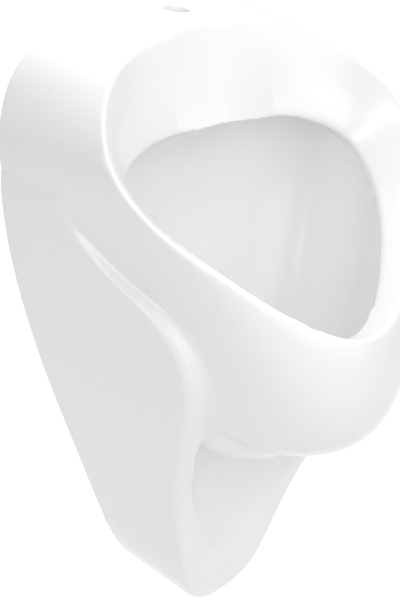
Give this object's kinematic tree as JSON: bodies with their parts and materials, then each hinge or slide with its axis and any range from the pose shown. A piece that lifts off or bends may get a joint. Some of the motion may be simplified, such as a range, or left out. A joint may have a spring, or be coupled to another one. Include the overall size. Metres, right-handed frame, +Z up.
{
  "type": "wall hung urinal",
  "caption": "Wall hung urinal of glazed china with a sloping oval mouth, flush spreader, lift-out strainer, concealed bottle trap and hanger brackets.",
  "frame": {"origin": "centre of the four bracket screw holes, on the face of the wall", "axes": "+Y goes into the wall, +Z is up, +X is to the right as one faces the wall"},
  "size_m": [0.3115, 0.3597, 0.5481],
  "materials": {
    "china": "glossy white glaze over vitreous china",
    "chrome": "polished chrome plate",
    "grey_rubber": "soft black-grey rubber",
    "white_plastic": "moulded white polypropylene",
    "zinc_steel": "zinc-plated pressed steel"
  },
  "bodies": {
    "urinal": {"ceramic_body": "china", "spreader_body": "chrome", "spreader_gasket": "grey_rubber", "spreader_ring": "grey_rubber", "outlet_seal": "grey_rubber", "trap_inlet_tube": "white_plastic", "trap_inlet_washer": "grey_rubber", "trap_head": "white_plastic", "trap_baffle": "white_plastic", "trap_cup_seal": "grey_rubber", "trap_outlet_washer": "grey_rubber", "outlet_pipe": "white_plastic", "left_hanger_bracket": "zinc_steel", "right_hanger_bracket": "zinc_steel", "left_bracket_pad": "grey_rubber", "right_bracket_pad": "grey_rubber"},
    "strainer": {"strainer": "chrome"},
    "inlet_nut": {"trap_inlet_nut": "white_plastic"},
    "outlet_nut": {"trap_outlet_nut": "white_plastic"},
    "trap_cup": {"trap_cup": "white_plastic"}
  },
  "joints": [
    {"name": "strainer_lift", "type": "slide", "parent": "urinal", "child": "strainer", "axis": [0, 0, 1], "range_m": [0, 0.06]},
    {"name": "inlet_nut_turn", "type": "hinge", "parent": "urinal", "child": "inlet_nut", "pos_m": [0, -0.085, -0.231], "axis": [0, -1, 0], "range_deg": [0, 1080]},
    {"name": "outlet_nut_turn", "type": "hinge", "parent": "urinal", "child": "outlet_nut", "pos_m": [0, -0.008, -0.242], "axis": [0, 1, 0], "range_deg": [0, 1080]},
    {"name": "cup_turn", "type": "hinge", "parent": "urinal", "child": "trap_cup", "pos_m": [0, -0.046, -0.312], "axis": [0, 0, -1], "range_deg": [0, 1080]}
  ]
}
